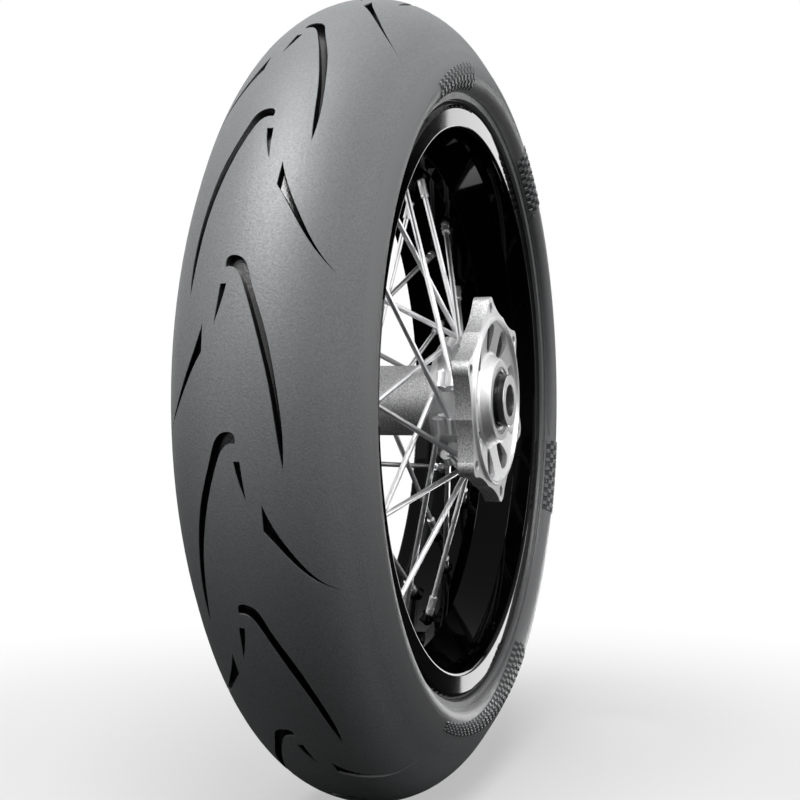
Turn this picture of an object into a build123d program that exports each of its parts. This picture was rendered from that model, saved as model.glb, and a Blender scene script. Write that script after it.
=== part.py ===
from build123d import *
import os
from math import acos, cos, degrees, radians, sin, sqrt, tan

# Rear wheel of a supermoto motorcycle: tubed road tyre on a wire-spoked rim, with hub,
# bearings, seals and axle spacers.
#
# Frame: millimetres, origin at the wheel's centre, axle along Y, +Z up.
# The sprocket side of the hub faces -Y and the brake-disc side faces +Y.
# Angles round the wheel are measured from +X towards +Z.

os.makedirs("parts", exist_ok=True)

# ---------------------------------------------------------------- driving dimensions
running_clearance = 0.05        # radial gap of a shaft or race that turns
seat_clearance = 0.30           # gap between pieces that are assembled by hand
face_clearance = 0.30           # axial gap between a turning and a standing face

# Tyre
tyre_radius = 306.0             # wheel centre to the crown of the tread
tyre_half_width = 70.0          # widest point of the shoulder arc, if it ran on to there
crown_arc_radius = 63.0         # cross-section radius of the tread
crown_arc_end = 57.0            # degrees of that arc on each side of the crown
flank_length = 14.0             # straight flank between the crown arc and the shoulder arc
shoulder_end = 76.0             # degrees from the top, where the shoulder arc meets the bulge
bulge_radius = 11.0             # cross-section radius of the sidewall's bulge
bulge_foot_angle = 70.0         # degrees below level, where the bulge ends at the bead ring
bead_ring_half_width = 59.3     # corner of the moulded ring that shows the bead is seated
bead_ring_radius = 234.0
cushion_overhang = 1.2          # bead cushion beyond the rim flange's face
cushion_gap = 1.4               # and above the flange's top
crown_thickness = 10.0
sidewall_thickness = 7.0
groove_depth = 5.5
groove_reach = 56.0             # the prisms that cut the grooves start this far below the crown
pattern_offset = 3.0            # moulded pattern's centre line, towards +Y
pattern_repeats = 9
side_phase = 20.2               # degrees between the two sides' patterns
first_hook_angle = 163.6        # angle of a hook groove's bend on the sprocket side

# Rim
rim_half_width = 57.5           # over the outer faces of the flanges
flange_thickness = 3.4
flange_radius = 228.0
bead_seat_radius = 215.5
bead_seat_width = 16.0
rim_wall = 4.0                  # under the drop well
bead_seat_wall = 8.0            # from the bead seat to the hub side of the rim
rim_rounding = 3.0              # radius of the rolled corners on the hub side
flange_curl = 5.5               # the flange's outer face curls inwards over this height
flange_curl_width = 2.4
well_floor_radius = 200.0       # tyre side of the well floor
well_half_width = 17.0
spoke_bed_offset = 13.0         # centre line of the spoke holes, towards +Y
spoke_stagger = 8.5             # spoke holes alternate this far to each side of that line
row_stagger = 1.5               # and within a side, outer and inner rows differ by this much
dimple_radius = 7.6             # raised seat round each spoke hole
dimple_end_radius = 5.8
dimple_height = 5.6
rim_tape_thickness = 1.2
tube_wall = 2.5

# Spokes
spokes_per_side = 18
spoke_radius = 2.1
spoke_circle_radius = 49.0      # the spoke lines touch this circle at the hub
spoke_head_radius = 2.9
spoke_head_length = 2.0
nipple_length = 21.0            # below its head
nipple_radius = 3.3
nipple_head_radius = 4.8
nipple_head_length = 3.6
nipple_flats = 5.6              # across the square for the spoke key
nipple_flats_length = 8.0
nipple_seat_depth = 1.4         # head seat below the tyre side of the well floor
first_spoke_angle = 12.0        # one spoke hole of the sprocket side
side_spoke_shift = -10.0        # brake side holes against the sprocket side holes

# Hub
axle_radius = 12.5
hub_barrel_radius = 27.5
boss_flange_inner = 36.6        # |y| of the spoke flange's inner face
boss_flange_outer = 59.0
barrel_inner_row = 44.4         # |y| of the inner row of spoke holes
barrel_outer_row = 55.0         # |y| of the outer row of spoke holes
sprocket_side_widening = 2.5    # the sprocket side's rows and drum lie this much further out
spoke_flange_radius = 46.0
spoke_flange_thickness = 3.2
spoke_barrel_radius = 4.8       # boss barrel round each spoke's hub end
boss_half_length = 6.0          # half the length of a boss along its spokes
boss_valley_radius = 40.0
barrel_flare = 5.6              # axial length of the flare from the barrel to the spoke flange
carrier_front = 76.8            # |y| of the sprocket face
carrier_thickness = 12.4
carrier_radius = 67.0
drum_radius = 62.0
drum_taper = 2.0
spoke_head_recess = 5.0         # depth of the room behind each spoke's head
lug_count = 6
lug_valley_radius = 68.2        # lowest point of the waves between the lugs
first_lug_angle = 42.0
lug_circle_radius = 72.0
lug_hole_radius = 4.2
lug_tip_radius = 80.5
lug_nose_radius = 8.2
spigot_radius = 64.0            # locates the sprocket
spigot_height = 2.4
spigot_wall = 2.6
window_count = 9
first_window_angle = 21.0
window_outer_radius = 60.0
window_inner_radius = 37.5
window_outer_width = 19.0
window_inner_width = 7.0
window_depth = 13.0
dish_depth = 4.5                # web between spigot and nose lies this far below the face
nose_radius = 32.0
nose_base_radius = 38.0
nose_front = 81.0
disc_face = 66.0                # |y| of the brake disc's seat
disc_flange_radius = 58.0
disc_bolt_circle_radius = 50.0
disc_bolt_hole_radius = 3.0
disc_bolt_depth = 7.0
disc_spigot_radius = 40.0
disc_spigot_height = 2.0
disc_bolt_count = 6
hub_cavity_radius = 21.0

# Bearings (25 x 52 x 15) and seals
bearing_outer_radius = 26.0
bearing_width = 15.0
bearing_front = 73.2            # |y| of the bearing's outer side
ball_radius = 3.97
ball_count = 9
ball_circle_radius = 19.25
groove_clearance = 0.10
inner_race_radius = 16.6
outer_race_radius = 21.9
cage_thickness = 1.6
shield_thickness = 0.8
circlip_thickness = 1.5
circlip_depth = 1.4
seal_thickness = 5.0
seal_front = 80.2               # |y| of the seal's outer side
distance_tube_radius = 16.0
spacer_radius = 20.2
spacer_end = 87.8               # |y| of the spacers' outer faces
spacer_groove_width = 2.6
spacer_groove_depth = 2.2

# Valve
valve_angle = 157.0
valve_stem_radius = 4.1
valve_bore_radius = 1.9
valve_nut_width = 12.0          # across flats
valve_nut_height = 4.5
valve_foot_radius = 7.0
valve_foot_lift = 5.2           # above the tube's inner skin at its lowest, where the skin curves up
valve_foot_thickness = 1.6
valve_reach = 33.0              # stem length showing inside the rim
valve_tip_radius = 3.2          # reduced end that the cap goes over
valve_tip_length = 9.0
valve_cap_wall = 1.1
valve_core_length = 14.0
valve_pin_radius = 0.6
valve_pin_length = 17.0


# ---------------------------------------------------------------- helpers
def spin(profile):
    """Revolve a face drawn as (y, radius) about the axle."""
    return revolve(Plane.YZ * profile, axis=Axis.Y)


def outline(points):
    """A closed face drawn through (y, radius) corners."""
    return make_face(Polyline(*points, close=True))


def ring(y_low, y_high, inner, outer):
    """A plain ring round the axle."""
    return spin(outline([(y_low, inner), (y_high, inner), (y_high, outer), (y_low, outer)]))


def turned(shape, angle):
    """Carry a shape drawn at +X round the axle to an angle."""
    return Rot(0, -angle, 0) * shape


def pattern(shape, count, start=0.0):
    """Copies of a shape drawn at +X, evenly spaced round the axle."""
    return [turned(shape, start + index * 360.0 / count) for index in range(count)]


def mirrored(shape):
    """The same shape on the other side of the wheel's centre plane."""
    return mirror(shape, about=Plane.XZ)


def rod(start, end, radius):
    """A round bar between two points."""
    axis = Vector(*end) - Vector(*start)
    bar = Pos(0, 0, axis.length / 2) * Cylinder(radius, axis.length)
    return Plane(origin=start, z_dir=axis.normalized()) * bar


def save(name, *shapes):
    """Write one node: a solid, or a group of separate solids."""
    solids = [solid for shape in shapes for solid in shape.solids()]
    export_step(solids[0] if len(solids) == 1 else Compound(solids), f"parts/{name}.step")


# ---------------------------------------------------------------- tyre
def crown_point(angle, radius):
    """Point of a crown arc, at an angle from the crown's top."""
    return (radius * sin(radians(angle)), tyre_radius - crown_arc_radius + radius * cos(radians(angle)))


def tyre_half_outline(inset, side_inset):
    """Crown, flank and shoulder on +Y, from the crown's top to where the bulge begins."""
    radius = crown_arc_radius - inset
    shoulder = crown_point(crown_arc_end, radius)
    outer_shoulder = crown_point(crown_arc_end, crown_arc_radius)
    step = (cos(radians(crown_arc_end)), -sin(radians(crown_arc_end)))
    flank_end = (outer_shoulder[0] + flank_length * step[0], outer_shoulder[1] + flank_length * step[1])
    side_radius = (tyre_half_width - flank_end[0]) / (1 - sin(radians(crown_arc_end)))
    centre = (tyre_half_width - side_radius, flank_end[1] - side_radius * cos(radians(crown_arc_end)))
    inner_radius = side_radius - side_inset
    inner_flank = (centre[0] + inner_radius * sin(radians(crown_arc_end)),
                   centre[1] + inner_radius * cos(radians(crown_arc_end)))
    middle = radians((shoulder_end + crown_arc_end) / 2)
    side = (centre[0] + inner_radius * sin(radians(shoulder_end)),
            centre[1] + inner_radius * cos(radians(shoulder_end)))
    edges = [
        ThreePointArc((0, tyre_radius - inset), crown_point(crown_arc_end / 2, radius), shoulder),
        Line(shoulder, inner_flank),
        ThreePointArc(inner_flank,
                      (centre[0] + inner_radius * sin(middle), centre[1] + inner_radius * cos(middle)),
                      side),
    ]
    return edges, side


def bead_face_plane():
    return rim_half_width - flange_thickness


def bulge_places(start):
    """Middle and foot of the bulge that carries a shoulder arc on round to the bead ring."""
    away = radians(90 - shoulder_end)
    centre = (start[0] - bulge_radius * cos(away), start[1] - bulge_radius * sin(away))
    foot = radians(bulge_foot_angle)
    middle = (foot - away) / 2
    return ((centre[0] + bulge_radius * cos(middle), centre[1] - bulge_radius * sin(middle)),
            (centre[0] + bulge_radius * cos(foot), centre[1] - bulge_radius * sin(foot)))


def tyre_section():
    """Half section of the casing: outer skin, bead and inner skin, closed over the crown."""
    outer, outer_side = tyre_half_outline(0, 0)
    inner, inner_side = tyre_half_outline(crown_thickness, sidewall_thickness)
    bead_outer = bead_face_plane() - seat_clearance
    bead_seat = bead_seat_radius + seat_clearance
    toe = bead_face_plane() - bead_seat_width + 3.0
    cushion = (rim_half_width + cushion_overhang, flange_radius + cushion_gap)
    bead_ring = (bead_ring_half_width, bead_ring_radius)
    bulge_middle, bulge_foot = bulge_places(outer_side)
    heel_top = (bead_outer, flange_radius + 0.8)
    lower_outer = [
        ThreePointArc(outer_side, bulge_middle, bulge_foot),
        Line(bulge_foot, bead_ring),
        Line(bead_ring, cushion),
        Line(cushion, heel_top),
        Line(heel_top, (bead_outer, bead_seat + 2.5)),
        Line((bead_outer, bead_seat + 2.5), (bead_outer - 2.5, bead_seat)),
        Line((bead_outer - 2.5, bead_seat), (toe, bead_seat)),
        Line((toe, bead_seat), (toe, bead_seat + 2.0)),
        ThreePointArc((toe, bead_seat + 2.0), (toe + 10.9, bead_seat + 13.7), inner_side),
    ]
    crown_join = Line((0, tyre_radius - crown_thickness), (0, tyre_radius))
    return make_face(outer + lower_outer + inner + [crown_join])


def crown_radius_at(y):
    """Tread radius at a lateral place on the crown arc or the flank beyond it."""
    reach = crown_arc_radius * sin(radians(crown_arc_end))
    if abs(y) <= reach:
        return tyre_radius - crown_arc_radius + sqrt(crown_arc_radius ** 2 - y ** 2)
    shoulder = crown_point(crown_arc_end, crown_arc_radius)
    return shoulder[1] - (abs(y) - reach) * tan(radians(crown_arc_end))


def on_tread(angle, y, middle):
    """A place on the tread, seen along the radius at the groove's middle angle."""
    return (y, crown_radius_at(y) * sin(radians(angle - middle)))


def groove_prism(edges, middle):
    """A groove's footprint, drawn on the tangent plane at its middle, pushed through the tread."""
    base = Plane.YZ.offset(tyre_radius - groove_reach)
    prism = extrude(base * make_face(edges), amount=1.5 * groove_reach, dir=(1, 0, 0))
    return turned(prism, middle)


def tread_curve(places, middle):
    """A smooth groove edge through (angle, y) places on the tread."""
    return Spline(*[on_tread(angle, y, middle) for angle, y in places])


def hook_groove():
    """Long groove with a rounded hook at its head; its tail runs out towards the shoulder."""
    middle = 12.0
    head, tail = (1.4, 5.2), (24.4, -32.0)
    outer = [head, (0.1, 3.2), (0.2, -3.6), (2.6, -11.4), (8.0, -21.6), (14.5, -29.2), (20.5, -32.6), tail]
    inner = [head, (1.4, 1.0), (3.6, -7.6), (9.2, -17.8), (15.0, -25.4), (20.5, -29.4), tail]
    return groove_prism([tread_curve(outer, middle), tread_curve(inner, middle)], middle)


def short_sipe():
    """Small blade-shaped groove beside the hook, across the crown."""
    middle = 5.6
    near, far, point = (3.3, 3.6), (3.3, 7.8), (7.9, 10.4)
    edges = [
        tread_curve([near, (5.0, 5.4), point], middle),
        Line(on_tread(*near, middle), on_tread(*far, middle)),
        tread_curve([far, (4.9, 8.6), point], middle),
    ]
    return groove_prism(edges, middle)


def dagger_groove():
    """Pointed groove that widens to a corner and tapers towards the shoulder."""
    middle = -5.6
    point, corner, end = (-12.1, -19.0), (-8.9, -18.6), (0.9, -55.4)
    edges = [
        tread_curve([point, (-9.0, -25.2), (-5.2, -35.0), (-1.9, -44.4), end], middle),
        Line(on_tread(*point, middle), on_tread(*corner, middle)),
        tread_curve([corner, (-6.9, -25.8), (-3.4, -37.2), (-0.9, -46.8), end], middle),
    ]
    return groove_prism(edges, middle)


def build_tyre():
    half = spin(tyre_section())
    casing = half + mirrored(half)
    floor_edges, floor_side = tyre_half_outline(groove_depth, groove_depth)
    foot = (0, floor_side[1])
    closing = [Line((0, tyre_radius - groove_depth), foot), Line(foot, floor_side)]
    floor_half = spin(make_face(floor_edges + closing))
    floor = floor_half + mirrored(floor_half)
    unit = [prism - floor for prism in (hook_groove(), short_sipe(), dagger_groove())]
    cutters = []
    for index in range(pattern_repeats):
        angle = first_hook_angle + index * 360.0 / pattern_repeats
        for groove in unit:
            cutters.append(Pos(0, pattern_offset, 0) * turned(groove, angle))
            cutters.append(Pos(0, pattern_offset, 0) * turned(mirrored(groove), angle - side_phase))
    return casing - cutters


# ---------------------------------------------------------------- rim, tape and inner tube
def well_edge(y):
    return spoke_bed_offset + y


def rim_section():
    """Cross-section of the rolled rim: flanges, bead seats, and a drop well set towards +Y."""
    flange_inner = bead_face_plane()
    underside = bead_seat_radius - bead_seat_wall
    floor_under = well_floor_radius - rim_wall
    right_seat = flange_inner - bead_seat_width
    curl_start = flange_radius - flange_curl
    lip_outer = rim_half_width - flange_curl_width
    lip_inner = (flange_inner, flange_radius - flange_thickness / 2)
    left_well, right_well = well_edge(-well_half_width), well_edge(well_half_width)
    slope = (bead_seat_radius - well_floor_radius) * 0.55
    points = [
        (-rim_half_width, curl_start), (-rim_half_width, underside),
        (-flange_inner + bead_seat_width - 1.5, underside),
        (left_well - slope, floor_under + 1.2), (left_well, floor_under),
        (right_well, floor_under), (right_well + slope, floor_under + 5.0),
        (right_seat + 6.0, underside), (rim_half_width, underside),
        (rim_half_width, curl_start),
    ]
    lower = FilletPolyline(*points, radius=rim_rounding)
    curl_middle = (rim_half_width - 0.25 * flange_curl_width, flange_radius - 0.4 * flange_curl)
    top = [
        ThreePointArc(points[-1], curl_middle, (lip_outer, flange_radius)),
        Line((lip_outer, flange_radius), lip_inner),
        Line(lip_inner, (flange_inner, bead_seat_radius)),
        Line((flange_inner, bead_seat_radius), (right_seat + 4.0, bead_seat_radius)),
        Line((right_seat + 4.0, bead_seat_radius), (right_well + 1.0, well_floor_radius)),
        Line((right_well + 1.0, well_floor_radius), (left_well - 1.0, well_floor_radius)),
        Line((left_well - 1.0, well_floor_radius), (-flange_inner + bead_seat_width, bead_seat_radius)),
        Line((-flange_inner + bead_seat_width, bead_seat_radius), (-flange_inner, bead_seat_radius)),
        Line((-flange_inner, bead_seat_radius), (-lip_inner[0], lip_inner[1])),
        Line((-lip_inner[0], lip_inner[1]), (-lip_outer, flange_radius)),
        ThreePointArc((-lip_outer, flange_radius), (-curl_middle[0], curl_middle[1]), points[0]),
    ]
    return make_face([*lower.edges(), *top])


def spoke_hole_places():
    """Every spoke as (side, row, angle at the rim, turn towards the hub)."""
    places = []
    step = 360.0 / spokes_per_side
    for side, shift in ((-1, 0.0), (1, side_spoke_shift)):
        for index in range(spokes_per_side):
            leading = index % 2 == 0
            outer_row = leading == (side < 0)
            angle = first_spoke_angle + shift + index * step
            places.append((side, outer_row, angle, 1 if leading else -1))
    return places


def widening(side):
    return sprocket_side_widening if side < 0 else 0.0


def spoke_ends(place):
    """Points where a spoke's line meets the nipple seat and touches the hub's spoke circle."""
    side, outer_row, angle, turn = place
    seat_radius = well_floor_radius - nipple_seat_depth
    rim_y = spoke_bed_offset + side * (spoke_stagger + (row_stagger if outer_row else -row_stagger))
    hub_y = side * ((barrel_outer_row if outer_row else barrel_inner_row) + widening(side))
    touch = radians(angle + turn * degrees(acos(spoke_circle_radius / seat_radius)))
    rim_point = (seat_radius * cos(radians(angle)), rim_y, seat_radius * sin(radians(angle)))
    hub_point = (spoke_circle_radius * cos(touch), hub_y, spoke_circle_radius * sin(touch))
    return Vector(*rim_point), Vector(*hub_point)


def spoke_plane(place, along):
    """Plane across a spoke, a distance from its touching point towards the rim."""
    rim_point, hub_point = spoke_ends(place)
    direction = (rim_point - hub_point).normalized()
    return Plane(origin=hub_point + direction * along, z_dir=direction)


def spoke_reach(place):
    """Distance along a spoke from its touching point to the nipple seat."""
    rim_point, hub_point = spoke_ends(place)
    return (rim_point - hub_point).length


def boss_offset():
    """Distance along a spoke from its touching point to the middle of its boss."""
    seat_radius = well_floor_radius - nipple_seat_depth
    lead = degrees(acos(spoke_circle_radius / seat_radius))
    half_step = 360.0 / spokes_per_side
    slip = (lead - half_step / 2) % half_step
    return spoke_circle_radius * tan(radians(slip))


def boss_angle(side):
    """Angle of one boss on a side."""
    shift = 0.0 if side < 0 else side_spoke_shift
    return first_spoke_angle + shift - 180.0 / spokes_per_side


def build_rim():
    rim = spin(rim_section())
    for place in spoke_hole_places():
        reach = spoke_reach(place)
        dimple = spoke_plane(place, reach - dimple_height - 0.6) * Pos(0, 0, dimple_height / 2)
        rim += dimple * Cone(dimple_end_radius, dimple_radius, dimple_height)
    for place in spoke_hole_places():
        reach = spoke_reach(place)
        hole = spoke_plane(place, reach) * Cylinder(nipple_radius + seat_clearance, 30.0)
        socket = Pos(0, 0, 5.0) * Cylinder(nipple_head_radius + seat_clearance, 10.0)
        seat = spoke_plane(place, reach) * socket
        rim -= [hole, seat]
    return rim - valve_axis_rod(well_floor_radius - 20.0, well_floor_radius + 10.0,
                                valve_stem_radius + seat_clearance)


def valve_axis_rod(low_radius, high_radius, radius):
    """A round bar on the valve's axis, between two distances from the axle."""
    bar = rod((low_radius, spoke_bed_offset, 0), (high_radius, spoke_bed_offset, 0), radius)
    return turned(bar, valve_angle)


def tape_inner_radius():
    return well_floor_radius - nipple_seat_depth + nipple_head_length + 1.6


def build_rim_tape():
    inner = tape_inner_radius()
    tape = ring(well_edge(-well_half_width), well_edge(well_half_width), inner, inner + rim_tape_thickness)
    return tape - valve_axis_rod(inner - 5, inner + 5, valve_stem_radius + seat_clearance)


def tube_section():
    """The inflated tube's skin: it fills the casing and sags to the rim tape."""
    gap = seat_clearance + 0.2
    edges, side = tyre_half_outline(crown_thickness + gap, sidewall_thickness + gap)
    heel = (side[0] - 14.5, bead_seat_radius + 11.5)
    toe = (bead_face_plane() - bead_seat_width - 2.0, bead_seat_radius + 4.0)
    bottom = tape_inner_radius() + rim_tape_thickness + seat_clearance
    edges.append(ThreePointArc(side, heel, toe))
    edges += [mirror(edge, about=Plane.YZ) for edge in edges]
    edges.append(ThreePointArc(toe, (0, bottom), (-toe[0], toe[1])))
    outer = make_face(edges)
    return outer - offset(outer, amount=-tube_wall)


def build_inner_tube():
    tube = spin(tube_section())
    low = tape_inner_radius()
    return tube - valve_axis_rod(low, low + 14.0, valve_stem_radius + seat_clearance)


# ---------------------------------------------------------------- valve
def valve_levels():
    """Distances from the axle: tip, shoulder under the cap, rim face, tube and foot."""
    rim_face = well_floor_radius - rim_wall
    tip = rim_face - valve_reach
    foot = tape_inner_radius() + rim_tape_thickness + tube_wall + valve_foot_lift
    return tip, tip + valve_tip_length, rim_face, foot


def build_valve_stem():
    tip, shoulder, rim_face, foot = valve_levels()
    stem = valve_axis_rod(shoulder, foot + valve_foot_thickness, valve_stem_radius)
    stem += valve_axis_rod(tip, shoulder, valve_tip_radius)
    stem += valve_axis_rod(foot, foot + valve_foot_thickness, valve_foot_radius)
    return stem - valve_axis_rod(tip - 1, foot + valve_foot_thickness + 1, valve_bore_radius)


def build_valve_nut():
    rim_face = valve_levels()[2]
    plane = Plane(origin=(rim_face - valve_nut_height - seat_clearance, spoke_bed_offset, 0),
                  x_dir=(0, 1, 0), z_dir=(1, 0, 0))
    hexagon = RegularPolygon(valve_nut_width / 2, 6, major_radius=False)
    nut = extrude(plane * hexagon, amount=valve_nut_height)
    bore = valve_axis_rod(rim_face - 20, rim_face + 5, valve_stem_radius + running_clearance)
    return turned(nut, valve_angle) - bore


def build_valve_core():
    tip = valve_levels()[0]
    core = valve_axis_rod(tip + 2.5, tip + 2.5 + valve_core_length, valve_bore_radius - running_clearance)
    return core - valve_axis_rod(tip, tip + 30, valve_pin_radius + 2 * running_clearance)


def build_valve_pin():
    tip = valve_levels()[0]
    return valve_axis_rod(tip + 0.4, tip + 0.4 + valve_pin_length, valve_pin_radius)


def build_valve_cap():
    tip, shoulder, _, _ = valve_levels()
    outer = valve_tip_radius + running_clearance + valve_cap_wall
    end = tip - 3.5
    cap = valve_axis_rod(end, shoulder - face_clearance, outer)
    return cap - valve_axis_rod(tip - 2.0, shoulder + 5, valve_tip_radius + running_clearance)


# ---------------------------------------------------------------- spokes and nipples
def build_spoke(place):
    start = boss_offset() - boss_half_length
    length = spoke_reach(place) - start - 2.0
    plane = spoke_plane(place, start)
    head = plane * Pos(0, 0, -spoke_head_length / 2) * Cylinder(spoke_head_radius, spoke_head_length)
    shank = plane * Pos(0, 0, length / 2) * Cylinder(spoke_radius, length)
    return head + shank


def build_nipple(place):
    reach = spoke_reach(place)
    head_plane = spoke_plane(place, reach)
    head = head_plane * Pos(0, 0, nipple_head_length / 2) * Cylinder(nipple_head_radius, nipple_head_length)
    shank = head_plane * Pos(0, 0, -nipple_length / 2) * Cylinder(nipple_radius, nipple_length)
    blank = Box(20, 20, nipple_flats_length) - Box(nipple_flats, nipple_flats, nipple_flats_length)
    flats = head_plane * Pos(0, 0, -nipple_length + nipple_flats_length / 2 + 2.0) * blank
    bore = head_plane * Cylinder(spoke_radius + running_clearance, 3 * nipple_length)
    return head + shank - flats - bore


# ---------------------------------------------------------------- hub
def hub_profile():
    """Half outline of the turned hub: barrel, flares, spoke flanges, carrier, disc seat and noses."""
    carrier_back = carrier_front - carrier_thickness
    drum_start = boss_flange_outer + sprocket_side_widening
    circlip_front = bearing_front + circlip_thickness + 0.1
    flare_start = boss_flange_inner - barrel_flare
    flange_back = boss_flange_inner + spoke_flange_thickness
    spigot_top = carrier_front + spigot_height
    dish_outer = carrier_front - 0.3
    dish_inner = carrier_front - dish_depth
    bore = bearing_outer_radius + running_clearance
    bearing_back = bearing_front - bearing_width
    points = [
        # outside, from the sprocket side's nose to the brake side's nose
        (-nose_front, bore), (-nose_front, nose_radius - 1.0), (-nose_front + 1.0, nose_radius),
        (-nose_front + 3.5, nose_radius + 1.2), (-dish_inner - 1.8, nose_base_radius - 2.5),
        (-dish_inner, nose_base_radius), (-dish_outer, spigot_radius - spigot_wall),
        (-spigot_top, spigot_radius - spigot_wall + 0.6), (-spigot_top, spigot_radius - 0.5),
        (-spigot_top + 0.5, spigot_radius), (-carrier_front, spigot_radius),
        (-carrier_front, carrier_radius - 0.8), (-carrier_front + 0.8, carrier_radius),
        (-carrier_back, carrier_radius - 2.0),
        (-carrier_back, drum_radius), (-drum_start, drum_radius - drum_taper),
        (-drum_start, boss_valley_radius),
        (-flange_back, boss_valley_radius), (-flange_back, spoke_flange_radius),
        (-boss_flange_inner, spoke_flange_radius), (-boss_flange_inner, boss_valley_radius - 3.0),
        (-flare_start, hub_barrel_radius), (flare_start, hub_barrel_radius),
        (boss_flange_inner, boss_valley_radius - 3.0), (boss_flange_inner, spoke_flange_radius),
        (flange_back, spoke_flange_radius), (flange_back, boss_valley_radius),
        (boss_flange_outer, boss_valley_radius), (boss_flange_outer, disc_flange_radius),
        (disc_face, disc_flange_radius), (disc_face, disc_spigot_radius),
        (disc_face + disc_spigot_height, disc_spigot_radius),
        (disc_face + disc_spigot_height, nose_radius + 2.0), (nose_front - 5.0, nose_radius),
        (nose_front - 1.0, nose_radius), (nose_front, nose_radius - 1.0), (nose_front, bore),
        # inside, back through the bearing seats and the cavity
        (bearing_back, bore), (bearing_back, hub_cavity_radius), (-bearing_back, hub_cavity_radius),
        (-bearing_back, bore), (-bearing_front, bore), (-bearing_front, bore + circlip_depth),
        (-circlip_front, bore + circlip_depth), (-circlip_front, bore),
    ]
    return outline(points)


def lug_outline():
    """One sprocket lug at +X; its flanks sweep half way to the lugs on either side."""
    half_pitch = radians(180.0 / lug_count)
    valley = (lug_valley_radius * cos(half_pitch), lug_valley_radius * sin(half_pitch))
    waist = (lug_circle_radius - 5.8, 19.4)
    nose = (lug_circle_radius + 4.2, lug_nose_radius - 0.9)
    return make_face([
        ThreePointArc(valley, waist, nose),
        ThreePointArc(nose, (lug_tip_radius, 0), (nose[0], -nose[1])),
        ThreePointArc((nose[0], -nose[1]), (waist[0], -waist[1]), (valley[0], -valley[1])),
        Line((valley[0], -valley[1]), (0, 0)),
        Line((0, 0), valley),
    ])


def axial_prism(face, y_low, y_high):
    """Push a face drawn in the wheel's plane as (x, z) along the axle."""
    plane = Plane(origin=(0, y_low, 0), x_dir=(1, 0, 0), z_dir=(0, -1, 0))
    return extrude(plane * face, amount=y_low - y_high)


def build_lugs():
    """Six lugs, full thickness out to their tips, and the bolt hole that goes through each."""
    lug = axial_prism(lug_outline(), -carrier_front, -carrier_front + carrier_thickness)
    hole = rod((lug_circle_radius, -carrier_front - 1, 0), (lug_circle_radius, 0, 0), lug_hole_radius)
    lug -= rod((0, -carrier_front - 1, 0), (0, 0, 0), drum_radius)
    return pattern(lug, lug_count, first_lug_angle), hole


def window_prism():
    """A leaf-shaped pocket at +X, wide and round at the rim end and narrow at the nose."""
    outer, inner = window_outer_radius, window_inner_radius
    half_out, half_in = window_outer_width / 2, window_inner_width / 2
    middle = (outer + inner) / 2
    face = make_face([
        ThreePointArc((outer - 3.5, half_out), (outer, 0), (outer - 3.5, -half_out)),
        ThreePointArc((outer - 3.5, -half_out), (middle, -half_in - 4.6), (inner + 1.5, -half_in)),
        ThreePointArc((inner + 1.5, -half_in), (inner, 0), (inner + 1.5, half_in)),
        ThreePointArc((inner + 1.5, half_in), (middle, half_in + 4.6), (outer - 3.5, half_out)),
    ])
    return axial_prism(face, -carrier_front - 5.0, -carrier_front + window_depth)


def boss_row(side, outer_row):
    """Distance of a row of barrels from the wheel's centre plane, at the middle of the bosses."""
    place = next(place for place in spoke_hole_places() if place[0] == side and place[1] == outer_row)
    return spoke_plane(place, boss_offset()).origin.Y


def build_boss_row(side):
    """Bosses of one spoke flange: a block with two rounded barrels side by side."""
    low, high = sorted((boss_row(side, False), side * (boss_flange_outer + widening(side) + 0.5)))
    root = boss_valley_radius - 4.0
    boss = Pos((spoke_circle_radius + root) / 2, (low + high) / 2, 0) * Box(
        spoke_circle_radius - root, high - low, 2 * boss_half_length)
    for outer_row in (True, False):
        boss += Pos(spoke_circle_radius, boss_row(side, outer_row), 0) * Cylinder(
            spoke_barrel_radius, 2 * boss_half_length)
    return pattern(boss, spokes_per_side // 2, boss_angle(side))


def spoke_bores():
    """Shank holes and head recesses through the bosses."""
    cuts = []
    for place in spoke_hole_places():
        start = boss_offset() - boss_half_length
        plane = spoke_plane(place, start)
        bore_length = 2 * boss_half_length + 12.0
        cuts.append(plane * Pos(0, 0, boss_half_length) * Cylinder(spoke_radius + 0.15, bore_length))
        recess = Cylinder(spoke_head_radius + seat_clearance, spoke_head_recess)
        cuts.append(plane * Pos(0, 0, -spoke_head_recess / 2) * recess)
    return cuts


def build_hub():
    hub = spin(hub_profile())
    lugs, hole = build_lugs()
    hub += lugs
    hub += build_boss_row(-1) + build_boss_row(1)
    hub -= pattern(window_prism(), window_count, first_window_angle)
    hub -= pattern(hole, lug_count, first_lug_angle)
    bolt = rod((disc_bolt_circle_radius, disc_face + 1, 0),
               (disc_bolt_circle_radius, disc_face - disc_bolt_depth, 0), disc_bolt_hole_radius)
    hub -= pattern(bolt, disc_bolt_count)
    hub -= spoke_bores()
    cavity = ring(-bearing_front + bearing_width, bearing_front - bearing_width, 0.0, hub_cavity_radius)
    return hub - cavity


# ---------------------------------------------------------------- bearings, seals and axle pieces
def bearing_middle():
    return -bearing_front + bearing_width / 2


def race_groove():
    torus = Torus(ball_circle_radius, ball_radius + groove_clearance)
    return Pos(0, bearing_middle(), 0) * Rot(90, 0, 0) * torus


def build_outer_race():
    low, high = -bearing_front, -bearing_front + bearing_width
    rebate = shield_thickness + face_clearance
    race = ring(low, high, outer_race_radius, bearing_outer_radius)
    race -= ring(low - 1, low + rebate, 0, outer_race_radius + 0.8)
    race -= ring(high - rebate, high + 1, 0, outer_race_radius + 0.8)
    return race - race_groove()


def build_inner_race():
    race = ring(-bearing_front, -bearing_front + bearing_width, axle_radius, inner_race_radius)
    return race - race_groove()


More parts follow.
